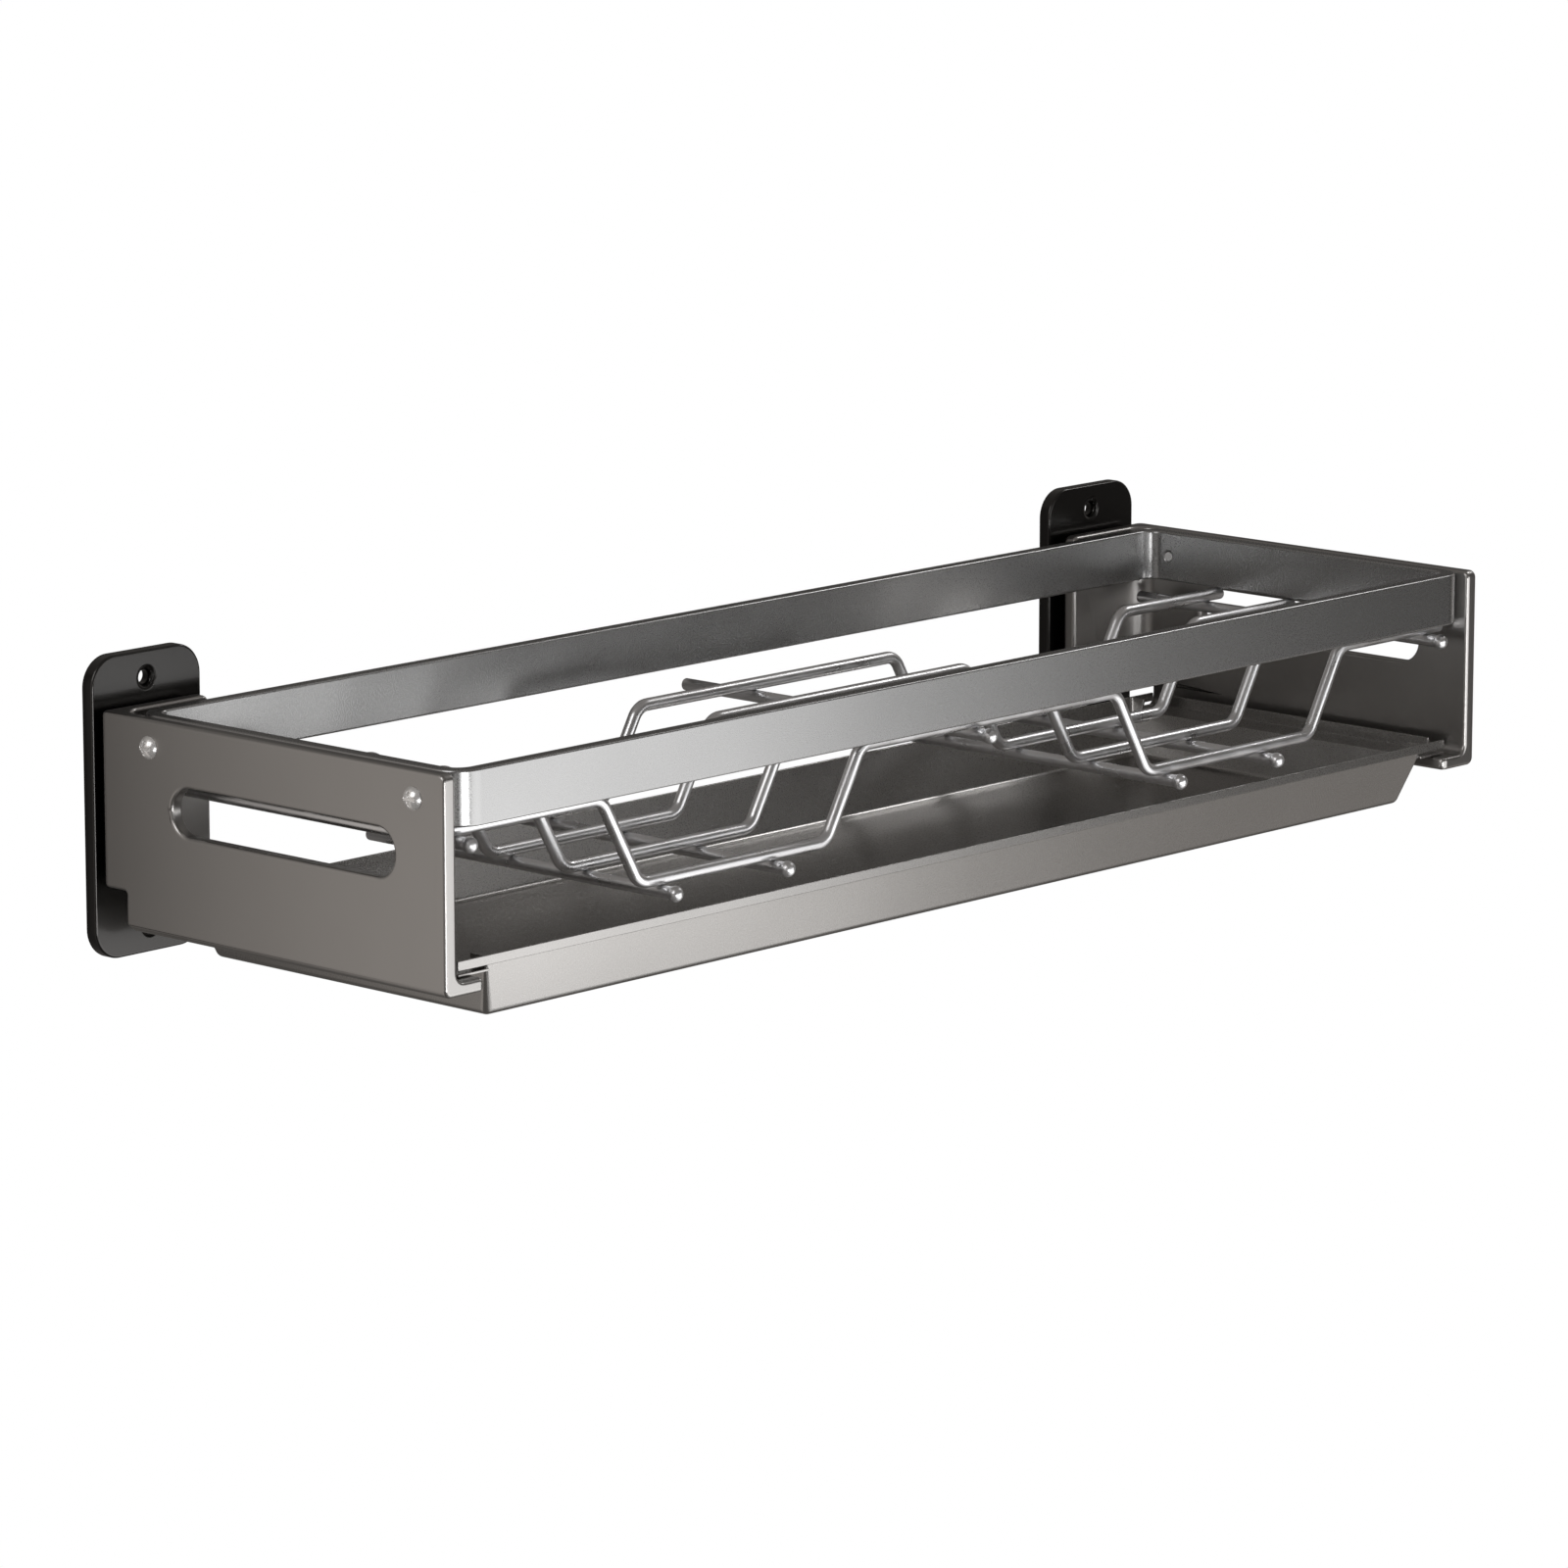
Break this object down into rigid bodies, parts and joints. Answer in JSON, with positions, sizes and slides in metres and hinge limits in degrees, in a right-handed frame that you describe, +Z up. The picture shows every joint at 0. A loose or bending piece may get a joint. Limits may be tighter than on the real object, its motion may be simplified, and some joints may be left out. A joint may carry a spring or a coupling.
{
  "type": "wall dish rack",
  "caption": "Wall-hung dish rack with a flat-bar frame, a welded wire plate grid and a drip tray that slides out to the front.",
  "frame": {"origin": "on the wall plane, in the middle of the four wall-screw holes", "axes": "+X along the wall to the right, +Y into the wall, +Z up; the front faces -Y"},
  "size_m": [0.6058, 0.193, 0.116],
  "materials": {
    "panel": "satin grey metallic coat",
    "bar": "satin grey metallic coat",
    "wall_plate": "satin dark grey coat",
    "wire": "polished chrome plate",
    "tray": "satin grey metallic coat",
    "hardware": "bright nickel plate"
  },
  "bodies": {
    "rack": {"side_panel_left": "panel", "side_panel_right": "panel", "top_frame": "bar", "wall_plate_left": "wall_plate", "wall_plate_right": "wall_plate", "hanging_studs_left": "hardware", "hanging_studs_right": "hardware", "frame_screw_left_front": "hardware", "frame_screw_left_rear": "hardware", "frame_screw_right_front": "hardware", "frame_screw_right_rear": "hardware", "cross_wire_1": "wire", "cross_wire_2": "wire", "cross_wire_3": "wire", "cross_wire_4": "wire", "upper_rod_left": "wire", "upper_rod_middle": "wire", "upper_rod_right": "wire", "lower_rod_1": "wire", "lower_rod_2": "wire", "lower_rod_3": "wire", "lower_rod_4": "wire"},
    "tray": {"drip_tray": "tray"}
  },
  "joints": [
    {"name": "tray_slide", "type": "slide", "parent": "rack", "child": "tray", "axis": [0, -1, 0], "range_m": [0, 0.15]}
  ]
}
